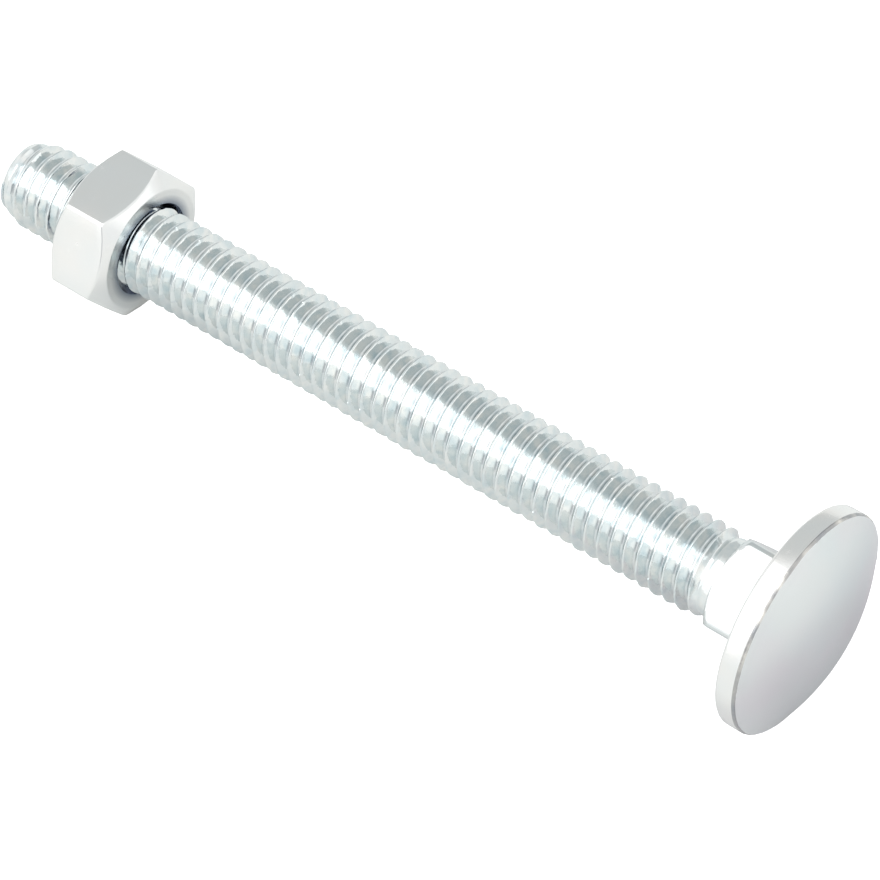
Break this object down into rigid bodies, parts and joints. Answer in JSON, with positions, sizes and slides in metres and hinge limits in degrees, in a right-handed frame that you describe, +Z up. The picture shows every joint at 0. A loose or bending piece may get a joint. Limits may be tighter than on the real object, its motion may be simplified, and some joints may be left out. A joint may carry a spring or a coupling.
{
  "type": "carriage bolt with hex nut",
  "caption": "Mushroom-head carriage bolt, square neck, threaded to the neck, with a hex nut run on near its tip, lying on its side.",
  "frame": {"origin": "on the floor, under the middle of the bolt as it lies on the edge of its head and one flat of its nut", "axes": "+X along the bolt towards the head, which the bolt's axis leans up to by 2.83 degrees; +Y to the side, +Z up"},
  "size_m": [0.0666, 0.0154, 0.0155],
  "materials": {
    "bolt_zinc": "bright zinc plate over rolled and forged steel",
    "nut_zinc": "bright zinc plate over forged steel"
  },
  "bodies": {
    "bolt": {"bolt": "bolt_zinc"},
    "nut": {"nut": "nut_zinc"}
  },
  "joints": [
    {"name": "nut_travel", "type": "slide", "parent": "bolt", "child": "nut", "axis": [0.9988, 0, 0.0493], "range_m": [-0.011, 0.046]}
  ]
}
